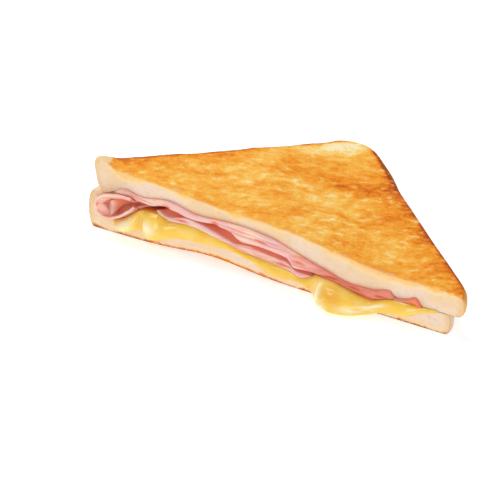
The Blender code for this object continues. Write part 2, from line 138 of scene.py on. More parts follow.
def endFaces(row, around, turn):  # a flat ladder of quads across one end row of a slab
    i = np.arange((around - 1) // 2)
    rungs = np.stack([i, i + 1, around - 2 - i, around - 1 - i], axis=-1) + row * around
    return rungs[:, ::-1] if turn else rungs


def slabPiece(name, sections, material, marks):
    # sections: one closed loop of points for each step along the piece, with a ladder over both ends
    count, around = sections.shape[:2]
    faces = [tubeFaces(count, around), endFaces(0, around, False), endFaces(count - 1, around, True)]
    if around % 2:
        faces = [faces[0]] + [faceSet[:-1] for faceSet in faces[1:]]
        middle = around // 2
        for row in (0, count - 1):
            faces.append(np.array([[middle - 1, middle, middle + 1]][:: 1 if row else -1]) + row * around)
    return makePiece(name, sections.reshape(-1, 3), faces, material, marks)


def placePiece(piece, node):  # hangs a finished surface on the root body and hides the solid that it replaces
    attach(piece, "root")
    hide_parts(node)
    print("stage:", piece.name, len(piece.data.vertices), "points")


# Shader maths as Python expressions

class Sock:  # a shader socket; each operator adds one Math node
    def __init__(self, paint, socket):
        self.paint, self.socket = paint, socket

    def join(self, operation, first, second):
        return self.paint.node("ShaderNodeMath", {"operation": operation}, {0: first, 1: second})

    def __add__(self, other):
        return self.join("ADD", self, other)

    def __radd__(self, other):
        return self.join("ADD", other, self)

    def __sub__(self, other):
        return self.join("SUBTRACT", self, other)

    def __rsub__(self, other):
        return self.join("SUBTRACT", other, self)

    def __mul__(self, other):
        return self.join("MULTIPLY", self, other)


class Paint:  # one material and the nodes that feed its Principled shader
    def __init__(self, name, constants):
        self.material = bpy.data.materials.new(name)
        self.material.use_nodes = True
        self.tree = self.material.node_tree
        self.shader = self.tree.nodes["Principled BSDF"]
        for socket, value in constants.items():
            self.shader.inputs[socket].default_value = value
        self.place = self.node("ShaderNodeTexCoord", {}, {}, "Object")

    def node(self, kind, settings, sockets, output=0):
        made = self.tree.nodes.new(kind)
        for key, value in settings.items():
            if key == "stops":
                ramp = made.color_ramp
                while len(ramp.elements) < len(value):
                    ramp.elements.new(0.5)
                for element, (position, colour) in zip(ramp.elements, value):
                    element.position = position
                    element.color = colour
            else:
                setattr(made, key, value)
        for key, value in sockets.items():
            if isinstance(value, Sock):
                self.tree.links.new(value.socket, made.inputs[key])
            else:
                made.inputs[key].default_value = value
        return Sock(self, made.outputs[output])

    def noise(self, size, detail=2.0, rough=0.5, warp=0.0, where=None):
        return self.node("ShaderNodeTexNoise", {}, {"Vector": where or self.place, "Scale": 1 / size,
                         "Detail": detail, "Roughness": rough, "Distortion": warp})

    def mark(self, name):
        return self.node("ShaderNodeAttribute", {"attribute_name": name}, {}, "Fac")

    def band(self, value, low, high):
        return self.node("ShaderNodeMapRange", {"interpolation_type": "SMOOTHSTEP"},
                         {"Value": value, "From Min": low, "From Max": high})

    def mix(self, share, first, second):
        return self.node("ShaderNodeMix", {"data_type": "RGBA"}, {0: share, 6: first, 7: second}, 2)

    def ramp(self, value, stops):
        return self.node("ShaderNodeValToRGB", {"stops": stops}, {"Fac": value})

    def stretch(self, factors, turn=0):  # factors above 1 draw a pattern out along the turned axes
        return self.node("ShaderNodeMapping", {"vector_type": "TEXTURE"},
                         {"Vector": self.place, "Rotation": (0, 0, math.radians(turn)), "Scale": factors})

    def feed(self, socket, value):
        self.tree.links.new(value.socket, self.shader.inputs[socket])

    def bump(self, height, distance, strength):
        sockets = {"Height": height, "Distance": distance, "Strength": strength}
        self.feed("Normal", self.node("ShaderNodeBump", {}, sockets))


def tint(red, green, blue):  # a display colour of 0 to 255 as a linear one
    values = [v / 255 for v in (red, green, blue)]
    return (*[v / 12.92 if v <= 0.04045 else ((v + 0.055) / 1.055) ** 2.4 for v in values], 1.0)


# The sandwich's overall form, in the same heights as its solids

form = {
    "sliceSide": 115 * mm,
    "cornerRadius": 12 * mm,
    "backCornerRadius": 14 * mm,
    "cornerSwell": 1.6 * mm,
    "cornerSwellReach": 17 * mm,
    "crustBulge": 1.1 * mm,
    "rightBulge": 1.4 * mm,
    "rightBulgePlace": 31 * mm,
    "rightBulgeReach": 11 * mm,
    "crustWobble": (0.35 * mm, 5 * mm, 13 * mm),  # height and two lengths
    "crustLift": 0.6 * mm,
    "crustLiftReach": 16 * mm,
    "crustDrop": 0.2 * mm,
    "leftFlare": 2.2 * mm,
    "flareReach": (9 * mm, 2 * mm, 12 * mm),  # along the cut, then from where to where back from it
    "stackHeight": 22.8 * mm,
    "stackFall": 0.0765,
    "sliceThickness": 9.3 * mm,
    "sliceThinning": 0.018,
    "innerPress": 1 * mm,
    "sliceOffset": 2.2 * mm,
    "swells": (0.45 * mm, 9 * mm, 11 * mm),  # height, then length along the cut and back from it
    # height, place along the cut, half width and reach back from the cut
    "middleDome": (1.1 * mm, -6 * mm, 27 * mm, 34 * mm),
    "rightDip": (1.2 * mm, 50 * mm, 14 * mm, 26 * mm),
    "arch": (2.6 * mm, -24 * mm, 19 * mm, 18 * mm),
    "leftLip": 3 * mm,
    "leftLipPlace": 2 * mm,
    "leftLipWidth": 3.4 * mm,
    "leftLipReach": (1 * mm, 10 * mm),
    "leftCurl": 7.2 * mm,
    "leftCurlPlace": -1 * mm,
    "leftCurlWidth": 3.1 * mm,
    "leftCurlReach": (5 * mm, 19 * mm),
    "topFade": 24 * mm,  # how far back the wavy lines of the cut run on
    "bottomFade": 20 * mm,
    "cavityDepth": 11 * mm,
    "hamLift": 0.5 * mm,
    "lowerHamFrom": (-54 * mm, -48 * mm),
    "lowerHamTo": (19 * mm, 25 * mm),
    "fillingMargin": 4 * mm,
    "fillingBack": 17 * mm,
    "cheeseShare": 0.36,
    "lowerHamShare": 0.3,
    "clearance": 0.12 * mm,
}
halfCut = form["sliceSide"] * math.sqrt(0.5)
tipX = halfCut - form["cornerRadius"] * (math.sqrt(2) - 1)
cutY = -halfCut / 3

# (x, z) in millimetres at the cut face
topSliceUnderside = (
    (-80, 16.4), (-72, 17), (-66, 19.4), (-62, 20.8), (-55, 19.5), (-43, 21.4), (-30, 19), (-14, 19.9),
    (0, 18.9), (12, 15.3), (22, 12.5), (36, 9.1), (43, 9.4), (50, 11.1), (52.8, 9.5), (57, 10.2),
    (60.5, 11.8), (64, 8.7), (70, 8.7), (80, 8.9))
bottomSliceTop = (
    (-72, 8.8), (-66, 6.6), (-58, 8), (-40, 8.8), (-22, 9), (-9, 7.6), (5, 5.2), (16, 3.6), (30, 3.6),
    (43, 3.4), (52, 5), (64, 7.5), (70, 8.4), (80, 8.7))
cheeseTop = (
    (-68, 7.3), (-64.5, 8), (-61, 9.8), (-55, 14.2), (-47, 15.3), (-42, 13.2), (-34, 13.8), (-22, 12),
    (-9, 9.3), (3, 8.2), (9, 7.4), (14, 5.6), (18, 7.2), (21, 9), (25, 9), (32, 7.4), (43, 5.5), (49, 7.4),
    (53, 8.3), (57, 8.7), (61, 8.5), (66, 8.6), (72, 8.9))
lowerHamTop = (
    (-48, 17), (-43, 15), (-34, 16.7), (-29, 16), (-22, 14.5), (-14, 12.3), (-8, 12.5), (1, 11.1),
    (8, 10.9), (13, 7.9), (19, 8.1))
upperHamUnderside = (
    (-68, 17.2), (-62, 18.6), (-56, 17.9), (-51, 17.4), (-45, 18.9), (-37, 17.3), (-30, 17), (-24, 17.6),
    (-16, 16.6), (-10.5, 13.2), (-4, 13.9), (8, 12.6), (12, 9.4), (19, 10), (28, 8.5), (36, 6.9), (43, 5.7),
    (49, 7.8), (54, 8.6))


def insideShare(x, y, offset):  # 0 at the crust sides, 1 well inside them
    return smoothStep(2 * mm, 12 * mm, (halfCut - (y - cutY) - np.abs(x - offset)) * math.sqrt(0.5))


def sliceThickness(x):
    return form["sliceThickness"] - form["sliceThinning"] * x


def bumpAtCut(shape, x, depth):  # a bell along the cut that fades with the distance from it
    height, place, width, reach = shape
    return height * hump(x, place, width) * (1 - smoothStep(0, reach, depth))


def toastedFace(x, y):  # a plane that falls to the right, with low swells and a lip at the left tip
    depth = y - cutY
    swell, alongLength, backLength = form["swells"]
    swells = swell * np.sin(x / alongLength + 0.8) * np.cos(depth / backLength - 0.4)
    lip = form["leftLip"] * hump(x, -tipX + form["sliceOffset"] + form["leftLipPlace"], form["leftLipWidth"])
    lip = lip * (1 - smoothStep(*form["leftLipReach"], depth))
    dome, dip = bumpAtCut(form["middleDome"], x, depth), bumpAtCut(form["rightDip"], x, depth)
    fromSide = (halfCut - depth - np.abs(x - form["sliceOffset"])) * math.sqrt(0.5)
    lift = form["crustLift"] * (1 - smoothStep(0, form["crustLiftReach"], fromSide))
    return form["stackHeight"] - form["stackFall"] * x + swells + lip + dome - dip + lift


def fromCut(line, inside, x, y, reach):  # a wavy line at the cut that fades to the height inside
    blend = smoothStep(0, reach, y - cutY)
    return throughPoints(line, x) * (1 - blend) + inside * blend


def topUnder(x, y):  # inside, a plane one slice below the toasted face
    inside = form["stackHeight"] - form["stackFall"] * x - sliceThickness(x)
    inside = inside + form["innerPress"] * insideShare(x, y, form["sliceOffset"])
    return fromCut(topSliceUnderside, inside, x, y, form["topFade"])


def bottomTop(x, y):  # the lower slice's left tip curls up along its crust side
    inside = sliceThickness(x) - form["innerPress"] * insideShare(x, y, -form["sliceOffset"])
    along = (x + tipX + (y - cutY)) * math.sqrt(0.5)
    inward = (x + tipX - (y - cutY)) * math.sqrt(0.5)
    place = form["leftCurlPlace"]
    curl = form["leftCurl"] * hump(np.maximum(inward, place), place, form["leftCurlWidth"])
    curl = curl * (1 - smoothStep(*form["leftCurlReach"], along))
    return fromCut(bottomSliceTop, inside, x, y, form["bottomFade"]) + curl


def bottomUnder(x, y):  # flat, but for a low arch along the cut
    lift = bumpAtCut(form["arch"], x, y - cutY)
    return np.where(lift > 0.02 * mm, lift, 0.0)


def betweenSlices(x, y, share):
    return bottomTop(x, y) + share * (topUnder(x, y) - bottomTop(x, y))


def cheeseUpper(x, y):
    return fromCut(cheeseTop, betweenSlices(x, y, form["cheeseShare"]), x, y, form["cavityDepth"])


def lowerHamUpper(x, y):
    inside = betweenSlices(x, y, form["cheeseShare"] + form["lowerHamShare"])
    return fromCut(lowerHamTop, inside, x, y, 0.6 * form["cavityDepth"])


def upperHamLower(x, y):
    start, end = form["lowerHamFrom"], form["lowerHamTo"]
    beside = smoothStep(*start, x) * (1 - smoothStep(*end, x))
    share = form["cheeseShare"] + form["lowerHamShare"] * np.maximum(beside, x < start[1])
    inside = betweenSlices(x, y, share) + form["hamLift"]
    return fromCut(upperHamUnderside, inside, x, y, form["cavityDepth"])


# Bread

breadLook = {
    "cutSteps": 330,
    "arcSteps": 12,
    "sideSteps": 92,
    "cornerSteps": 17,
    "wallRows": 40,
    "upperSliceRings": (50, 22),  # on its upper and its lower face
    "lowerSliceRings": (34, 38),
    "crustRound": 1.6 * mm,
    "cutRound": 0.35 * mm,
    "blisterHeight": 0.22 * mm,
    "poreDepth": 0.22 * mm,
    "facePitDepth": 0.12 * mm,
    "crumbWave": 0.22 * mm,
    "crumbGrain": 0.12 * mm,
    "innerGrain": 0.1 * mm,
    "crustGrain": 0.16 * mm,
    "crustInset": 0.12 * mm,
    # where the toasted colour reaches down the cut, or stops short of it, as (x, mm)
    "toastReach": ((-76, -1), (-71, -0.4), (-66, 2), (-61, 1.6), (-55, 0), (-50, -0.5), (-38, 0.6),
                   (-30, -0.6), (-15, 0.8), (-8, 0.8), (5, -0.3), (17, 0.1), (28, 0.8), (34, 1.1), (42, 1.5),
                   (48, 0.9), (56, 1.5), (62, 0.4), (66, 0.8), (73, -0.3)),
    "baseBrowning": 0.46,
    # lighter and darker patches of toast: x, distance from the cut, radius in mm, and how much darker
    "spots": ((-3, 70, 9, -0.34), (-24, 30, 9, -0.1), (8, 30, 9, -0.12), (31, 30, 6, 0.12), (-40, 34, 9, 0.1),
              (-12, 40, 6, 0.12), (23, 50, 9, 0.12), (-55, 8, 10, 0.05), (40, 9, 8, -0.08), (8, 5, 7, -0.1),
              (66, 6, 7, -0.04), (-64, 12, 8, 0.08), (-2, 22, 8, 0.06), (33, 42, 6, 0.1)),
    "palePatch": tint(255, 236, 186),
    "lightGold": tint(255, 208, 112),
    "gold": tint(252, 184, 74),
    "deepGold": tint(242, 146, 34),
    "brown": tint(206, 98, 28),
    "darkBrown": tint(164, 76, 30),
    "crustBrown": tint(224, 118, 42),
    "crumb": tint(238, 215, 196),
    "crumbWarm": tint(238, 206, 164),
    "halfToasted": tint(250, 216, 154),
    "poreShade": tint(232, 200, 166),
    "crustSide": tint(232, 186, 118),
}


def sliceOutline(offset, phase):
    # seen from above, anticlockwise from the left tip: the cut, a 45 degree arc, a straight side, the back
    # corner's quarter turn and the same again mirrored. Gives places, outward directions, where the crust is
    # and the inward rounding.
    look, r, back = breadLook, form["cornerRadius"], form["backCornerRadius"]
    evenly = np.linspace(-1, 1, look["cutSteps"])
    cutX = tipX * (0.8 * evenly + 0.2 * np.sin(evenly * math.pi / 2))
    arcX, backY = halfCut - r * math.sqrt(2), halfCut - back * math.sqrt(2)
    arc = np.linspace(0, math.pi / 4, look["arcSteps"] + 1)[1:]
    corner = np.linspace(math.pi / 4, math.pi / 2, look["cornerSteps"] + 1)[1:]
    side = np.linspace(0, 1, look["sideSteps"] + 1)[1:]
    start = np.array([arcX + r * math.sqrt(0.5), r * math.sqrt(0.5)])
    end = np.array([back * math.sqrt(0.5), backY + back * math.sqrt(0.5)])
    sideX, sideY = start[0] + (end[0] - start[0]) * side, start[1] + (end[1] - start[1]) * side
    rightX = np.concatenate([arcX + r * np.cos(arc), sideX, back * np.cos(corner)])
    rightY = np.concatenate([r * np.sin(arc), sideY, backY + back * np.sin(corner)])
    rightTurn = np.concatenate([arc, np.full(len(side), math.pi / 4), corner])
    places = np.column_stack([np.concatenate([cutX, rightX, -rightX[-2::-1]]),
                              np.concatenate([0 * cutX, rightY, rightY[-2::-1]])])
    turn = np.concatenate([np.full(len(cutX), -math.pi / 2), rightTurn, math.pi - rightTurn[-2::-1]])
    outward = np.column_stack([np.cos(turn), np.sin(turn)])
    crust = (np.arange(len(places)) >= len(cutX)).astype(float)
    fromCorner = np.hypot(places[:, 0], places[:, 1] - (halfCut - 6 * mm))
    swell = form["cornerSwell"] * hump(fromCorner, 0, form["cornerSwellReach"])
    wobble, shortLength, longLength = form["crustWobble"]
    wobble = wobble * np.sin(places.sum(axis=1) / shortLength + phase) * np.sin(places[:, 0] / longLength)
    alongRight = (places[:, 1] - places[:, 0]) * math.sqrt(0.5)
    bulge = hump(alongRight, form["rightBulgePlace"], form["rightBulgeReach"])
    bulge = form["crustBulge"] + form["rightBulge"] * bulge
    places = places + outward * ((bulge + swell + wobble) * crust)[:, None]
    nearTip = smoothStep(tipX - 9 * mm, tipX, np.abs(places[:, 0])) * (1 - crust)
    inward = -outward * (look["crustRound"] * crust + look["cutRound"] * (1 - crust))[:, None]
    inward[:, 0] -= np.sign(places[:, 0]) * look["crustRound"] * nearTip
    return places + np.array([offset, cutY]), outward, crust, inward


def breadPiece(name, node, offset, phase, upper, lower, isUpper, seed, material):
    # rings from the middle of the upper face out to its edge, down the wall and back in under the lower face
    look = breadLook
    outline, outward, crust, inward = sliceOutline(offset, phase)
    centre = np.array([offset, 0.0])
    edge = outline + inward
    upperRings, lowerRings = look["upperSliceRings" if isUpper else "lowerSliceRings"]
    out = 1 - (1 - np.linspace(0, 1, upperRings + 1)[1:]) ** 1.5
    back = (1 - (1 - np.linspace(0, 1, lowerRings + 1)[1:]) ** 1.5)[::-1]
    down = 0.5 - 0.5 * np.cos(np.linspace(0, math.pi, look["wallRows"]))
    down = 0.35 * down + 0.65 * np.linspace(0, 1, look["wallRows"])
    high = upper(edge[:, 0], edge[:, 1])
    low = lower(edge[:, 0], edge[:, 1])
    drop = form["crustDrop"] * crust

    def faceRings(shares, height):
        places = centre + (edge - centre) * shares[:, None, None]
        return np.dstack([places, height(places[..., 0], places[..., 1])])

    inset = np.abs(2 * down - 1)[:, None] ** 3.4
    wallXY = outline + inward * inset[..., None]
    wallZ = (high - drop) + ((low + drop) - (high - drop)) * down[:, None]
    grid = np.concatenate([faceRings(out, upper), np.dstack([wallXY, wallZ]), faceRings(back, lower)])

    # which zone each ring is in
    rows, around = grid.shape[:2]
    row, ones = np.arange(rows)[:, None], np.ones(around)
    isTop = (row < upperRings) * ones
    isUnder = (row >= upperRings + look["wallRows"]) * ones
    isWall = 1 - isTop - isUnder
    toasted, inner = (isTop, isUnder) if isUpper else (isUnder, isTop)
    downAll = np.concatenate([np.zeros(upperRings), down, np.ones(lowerRings)])[:, None] * ones
    fromToast = downAll if isUpper else 1 - downAll
    flareAlong, flareFrom, flareTo = form["flareReach"]
    nearLeft = 1 - smoothStep(0, flareAlong, grid[..., 0] + tipX - offset)
    nearLeft = nearLeft * (1 - smoothStep(flareFrom, flareTo, grid[..., 1] - cutY)) * isUpper
    grid[..., 0] -= form["leftFlare"] * nearLeft * (1 - downAll) ** 1.2
    depth = fromToast * (high - low)
    cutWall = isWall * (1 - crust)
    crustWall = isWall * crust

    # relief: blisters and pores on the toasted face, open crumb on the cut, fine wrinkles on the crust
    blister = softNoise(grid, 5.5 * mm, seed, 3)
    facePits = pitField(grid, 3 * mm, seed + 20, 0.7)
    crumbPits = np.maximum(pitField(grid * (0.8, 1, 1.15), 2.6 * mm, seed + 40, 0.75),
                           0.7 * pitField(grid, 1.3 * mm, seed + 60, 0.8))
    grain = softNoise(grid, 0.9 * mm, seed + 80, 2)
    wave = softNoise(grid, 11 * mm, seed + 90, 2)
    rise = look["blisterHeight"] * (blister + 0.35 * grain) - look["facePitDepth"] * facePits
    grid[..., 2] += toasted * rise * isUpper  # the underside stays flat to rest on
    grid[..., 2] += (1 if isUpper else -1) * inner * look["innerGrain"] * np.abs(grain)
    inwardStep = look["crumbGrain"] * (1 + grain) + look["crumbWave"] * (1 + wave)
    inwardStep = inwardStep + look["poreDepth"] * crumbPits
    taper = 1 - 0.55 * np.abs(2 * downAll - 1) ** 6
    grid[..., :2] -= outward * (cutWall * inwardStep * taper)[..., None]
    wrinkle = look["crustGrain"] * grain + look["crumbWave"] * wave - look["crustInset"]
    grid[..., :2] += outward * (crustWall * wrinkle)[..., None]

    # zone by zone browning of the toasted face, from 0 pale to 1 dark
    x, y = grid[..., 0] - offset, grid[..., 1] - cutY
    toRight = np.maximum((halfCut - y - x) * math.sqrt(0.5), 0)
    toLeft = np.maximum((halfCut - y + x) * math.sqrt(0.5), 0)
    brown = look["baseBrowning"] + 0.1 * smoothStep(-10 * mm, 45 * mm, x) + 0.06 * wave
    brown += 0.14 * hump(toRight, 0, 6 * mm) * smoothStep(76 * mm, 62 * mm, y)  # right crust
    brown += 0.16 * hump(toLeft, 0, 4 * mm) * smoothStep(56 * mm, 36 * mm, y)  # left crust
    bar = hump(y - 0.15 * x, 46 * mm, 6.5 * mm)  # a darker bar across the right half
    brown += 0.13 * bar * smoothStep(-14 * mm, 2 * mm, x)
    brown -= 0.2 * hump(toLeft, 4 * mm, 4.5 * mm) * smoothStep(50 * mm, 62 * mm, y)  # back corner
    for spotX, spotY, radius, height in look["spots"]:
        brown += height * hump(np.hypot(x - spotX * mm, y - spotY * mm), 0, radius * mm)
    tip = hump(np.hypot(x + tipX, 0.5 * y), 0, 4.4 * mm)
    if not isUpper:
        brown += 0.45 * hump(y, 0, 3 * mm)
    rimNear = np.exp(-np.minimum(toRight, toLeft) / (0.8 * mm)) * (1 - tip)
    paleEdge = np.exp(-np.maximum(y, 0) / (1.5 * mm))
    reach = throughPoints(look["toastReach"], x) / mm if isUpper else 0.2
    fromTip = tipX - np.abs(outline[:, 0] - offset)
    marks = {"browning": brown, "depthIn": depth / mm - reach,
             "pores": crumbPits * cutWall + facePits * toasted,
             "cutFace": cutWall, "crustWall": crustWall, "rimNear": rimNear * toasted, "innerFace": inner,
             "paleEdge": paleEdge * toasted + 0.9 * cutWall * isUpper, "rawTip": tip * isUpper,
             "crisp": 0.25 + 0.2 * smoothStep(-55 * mm, -15 * mm, x),
             "crustRing": cutWall * (1 - smoothStep(0.4 * mm, 2.4 * mm, fromTip)),
             "paleCrust": crustWall * (not isUpper) * smoothStep(46 * mm, 70 * mm, np.abs(x))}

    poles = np.array([[*centre, upper(*centre)], [*centre, lower(*centre)]])
    points = np.concatenate([grid.reshape(-1, 3), poles])
    k, lastRow, pole = np.arange(around), (rows - 1) * around, rows * around
    after = (k + 1) % around
    fans = [np.column_stack([after, k, np.full(around, pole)]),
            np.column_stack([k + lastRow, after + lastRow, np.full(around, pole + 1)])]
    marks = {key: np.append(values, [values.flat[0], values.flat[-1]]) for key, values in marks.items()}
    piece = makePiece(name, points, [tubeFaces(rows, around), *fans], material, marks)
    placePiece(piece, node)


def breadMaterial():
    look = breadLook
    paint = Paint("toastedBread", {
        "Roughness": 0.62, "Specular IOR Level": 0.08, "Subsurface Weight": 0.12,
        "Subsurface Radius": (2.0, 1.1, 0.5), "Subsurface Scale": 0.8 * mm})
    along = paint.stretch((1.4, 0.85, 1.0), 27)  # the grill's streaks lean away from the cut
    wide = paint.noise(15 * mm, 2, 0.5, 0.3)
    blotch = paint.noise(5.2 * mm, 3, 0.55, 0.5, along)
    streak = paint.noise(2.4 * mm, 2, 0.5, 0.4, along)
    speck = paint.noise(1.1 * mm, 3, 0.6)
    grit = paint.noise(0.5 * mm, 2, 0.5)
    heat = paint.mark("browning") + (wide - 0.5) * 0.4 + (blotch - 0.5) * 0.8 + (streak - 0.5) * 0.45
    heat = heat + (speck - 0.5) * 0.42 + paint.mark("rimNear") * 0.72
    toast = paint.ramp(heat, [(0.08, look["palePatch"]), (0.26, look["lightGold"]), (0.42, look["gold"]),
                              (0.66, look["deepGold"]), (0.88, look["brown"]), (1.0, look["darkBrown"])])
    fleck = paint.band(streak, 0.42, 0.3) * paint.band(blotch, 0.58, 0.42)
    toast = paint.mix(fleck * paint.mark("crisp"), toast, look["palePatch"])
    crumbTone = paint.mix(paint.band(wide, 0.35, 0.7), look["crumb"], look["crumbWarm"])
    # painted shade: the pits of the crumb are darkened, together with speck mottling in the crumb's own tone
    holes = paint.mark("pores") * 0.5 + paint.band(speck, 0.48, 0.66) * 0.4
    crumbTone = paint.mix(holes, crumbTone, look["poreShade"])
    depth = paint.mark("depthIn") + (speck - 0.5) * 1.6 + (blotch - 0.5) * 4.0
    crumbTone = paint.mix((1 - paint.band(depth, 0.2, 3.0)) * 0.7, crumbTone, look["halfToasted"])
    crumbTone = paint.mix(paint.mark("crustRing") * 0.5, crumbTone, look["crustSide"])
    rawTip = paint.band(paint.mark("rawTip") + (speck - 0.5) * 0.3, 0.38, 0.52)
    raw = paint.band(depth, -0.3, 1.0) * (paint.mark("cutFace") + paint.mark("innerFace")) + rawTip
    paleEdge = paint.band(paint.mark("paleEdge") + (streak - 0.5) * 1.2 + (blotch - 0.5) * 1.6, 0.35, 0.95)
    toast = paint.mix(paleEdge * 0.7, toast, look["halfToasted"])
    crustTone = paint.mix((1 - paint.band(depth, 0.3, 3.2)) * 0.75, look["crustSide"], look["crustBrown"])
    crustTone = paint.mix(paint.band(blotch, 0.42, 0.66) * 0.4, crustTone, look["gold"])
    crustTone = paint.mix(paint.mark("paleCrust") * 0.9, crustTone, look["crumb"])
    colour = paint.mix(raw, toast, crumbTone)
    colour = paint.mix(paint.mark("crustWall") * (1 - rawTip * 0.35), colour, crustTone)
    paint.feed("Base Color", colour)
    paint.feed("Roughness", 0.5 + speck * 0.3)
    paint.bump(grit * 0.3 + speck * 0.6 + streak * 0.2, 0.4 * mm, 0.32)
    return paint.material


bread = breadMaterial()
breadPiece("topSlice", "bread_top", form["sliceOffset"], 2.1, toastedFace, topUnder, True, 11, bread)
breadPiece("bottomSlice", "bread_bottom", -form["sliceOffset"], 0.6, bottomTop, bottomUnder, False, 211, bread)


# Cheese

cheeseLook = {
    "left": -68 * mm,
    "right": 70 * mm,
    "sections": 620,
    "frontPoints": 60,
    "backPoints": 20,
    "endRounding": 46,
    "narrowest": 0.6 * mm,
    "rightLift": (0.35 * mm, 18 * mm, 24 * mm),  # height, and from where to where it sets in
    # how far the run stands out from the cut, and how low it hangs, as (x, mm)
    "runOut": ((-68, 1.2), (-65.5, 3.8), (-60.5, 6.2), (-55.5, 4.9), (-53.8, 3.4), (-51.5, 5), (-47, 6.3),
               (-42, 4.2), (-37, 2.2), (-26, 1.6), (-18, 0.9), (-8, 1.4), (2, 2), (12, 1.1), (18, 1.8),
               (22, 4.4), (26, 7.8), (31, 8.8), (37, 7.3), (43, 4.6), (50, 2.6), (58, 3.2), (64, 1),
               (70, 0.3)),
    "runDown": ((-68, 6), (-65.5, 5), (-61.5, 4.7), (-57.5, 5.6), (-55.5, 6.4), (-53, 5.6), (-48, 4.8),
                (-42, 6.4), (-34, 7.4), (-26, 7.8), (-18, 8.4), (-8, 7), (2, 4), (8, 3.2), (12, 3.6),
                (18, 2.6), (22, 1.8), (26, 0.4), (31, 0.1), (37, 0.2), (43, 1.2), (50, 2.7), (58, 4.2),
                (64, 6.9), (70, 8)),
    # forms of the run: how far out, x and its half width, then the height share and its half width
    "hollow": (2.9 * mm, 30 * mm, 4 * mm, 0.7, 0.28),
    "lip": (0.9 * mm, 33 * mm, 11 * mm, 0.16, 0.16),
    "crease": (1.5 * mm, -53.9 * mm, 1.5 * mm, 0.6, 0.4),
    "ridge": (2.4 * mm, 24.3 * mm, 1.5 * mm),
    "foot": 1.2 * mm,
    # painted highlights on the run, where its glossy bumps catch the light: x in mm, height share, and their
    # radii
    "milky": ((-60.5, 0.6, 3.6, 0.36), (-49.5, 0.52, 3.6, 0.22), (24.1, 0.55, 1.5, 0.45), (27, 0.2, 2, 0.12),
              (46, 0.66, 4.5, 0.12), (38, 0.34, 5, 0.08)),
    "bulgeOut": ((0, 0.15), (1, 0.7), (2, 0.97), (3, 1), (4, 0.87), (5, 0.6), (6, 0.26)),
    "bulgeUp": ((0, 0), (1, 0.03), (2, 0.2), (3, 0.42), (4, 0.68), (5, 0.9), (6, 1)),
    "yellow": tint(249, 203, 68),
    "pale": tint(251, 217, 120),
    "shadeYellow": tint(240, 174, 34),
    "highlightWhite": tint(255, 242, 214),
    "juice": tint(216, 96, 56),
}


def fillingRows(cutX, count, power):  # rows back from the cut, narrowing with their depth as the triangle does
    depth = ((halfCut - form["fillingBack"]) * np.linspace(0, 1, count + 1)[1:] ** power)[None, :]
    return cutX * (1 - depth / (halfCut - form["fillingMargin"])), cutY + depth + 0 * cutX, depth


def onRun(shape, x, upward):  # a bell along the cut times a bell up the front
    out, place, width, heightShare, tall = shape
    return out * hump(x, place, width) * hump(upward, heightShare, tall)


def cheesePiece(material):
    # at each step along the cut: back along the bread, down behind the run, up its bulging front, then back
    # over its top
    look = cheeseLook
    share = np.linspace(0, 1, look["sections"])[:, None]
    cutX = look["left"] + (look["right"] - look["left"]) * share
    ends = np.sqrt(np.clip(np.minimum(share, 1 - share) * look["endRounding"], 0, 1))
    out = throughPoints(look["runOut"], cutX) * ends
    rest = bottomTop(cutX, np.full_like(cutX, cutY)) + form["clearance"]
    down = np.minimum(throughPoints(look["runDown"], cutX), rest - 0.05 * mm)
    top = np.maximum(cheeseUpper(cutX, np.full_like(cutX, cutY)), rest + look["narrowest"])
    lift, liftFrom, liftTo = look["rightLift"]
    top = rest + (top - rest + lift * smoothStep(liftFrom, liftTo, cutX)) * ends
    down = rest + (down - rest) * ends
    t = np.linspace(0, 6, look["frontPoints"])[None, :]
    outward = throughPoints(look["bulgeOut"], t, 1.0)
    upward = throughPoints(look["bulgeUp"], t, 1.0)
    foot = look["foot"] * smoothStep(2.6 * mm, 1 * mm, down) * (1 - smoothStep(0.1, 0.45, upward))
    ridge, ridgePlace, ridgeWidth = look["ridge"]
    ridge = ridge * hump(cutX, ridgePlace, ridgeWidth) * smoothStep(0.1, 0.6, upward)
    # painted highlight: near-white patches on the blobs, the drip's ridge and the run's right part
    milky = sum(onRun((1, atX * mm, wide * mm, atUp, tall), cutX, upward)
                for atX, atUp, wide, tall in look["milky"])
    hollow, lip, crease = (onRun(look[key], cutX, upward) for key in ("hollow", "lip", "crease"))
    frontY = cutY - out * outward - foot - (ridge + lip - hollow - crease) * outward
    frontZ = down + (top - down) * upward
    front = np.dstack([cutX + 0 * t, frontY, frontZ])
    x, y = fillingRows(cutX, look["backPoints"], 1.7)[:2]
    low = bottomTop(x, y) + form["clearance"]
    high = np.maximum(cheeseUpper(x, y), low + 0.5 * mm)
    high = low + (high - low) * (0.25 + 0.75 * ends)
    high[:, -1] = low[:, -1] + 0.3 * mm
    behind = np.linspace(0, 1, 8)[None, :]
    corner = np.dstack([cutX + 0 * behind, cutY - 0.15 * out * behind ** 2 - 0.05 * mm + 0 * cutX,
                        rest + (down - rest) * behind])[:, :-1]
    sections = np.concatenate([np.dstack([x, y, low])[:, ::-1], corner, front, np.dstack([x, y, high])], axis=1)
    soft = softNoise(sections, 8 * mm, 401, 1)
    inFront = smoothStep(cutY + 1 * mm, cutY - 1.5 * mm, sections[..., 1])
    sections[..., 1] -= 0.22 * mm * soft * inFront
    sections[..., 2] = np.maximum(sections[..., 2] + 0.12 * mm * soft * inFront, 0.02 * mm)

    def onFront(values):  # a mark that is nothing everywhere else
        return np.concatenate([0 * low, 0 * corner[..., 0], values + 0 * frontZ, 0 * high], axis=1)

    # painted shade: the cheese's top just behind the cut near x = -50 mm, in the dark cavity under the ham, is
    # coloured red-brown
    juice = smoothStep(-0.5 * mm, 1.5 * mm, sections[..., 1] - cutY) * hump(sections[..., 0], -50 * mm, 7 * mm)
    marks = {"runThickness": onFront((out * outward + hollow) / mm), "hollow": onFront(hollow / mm),
             "milky": onFront(milky), "juice": juice, "shine": onFront(1.0)}
    placePiece(slabPiece("meltedCheese", sections, material, marks), "cheese")


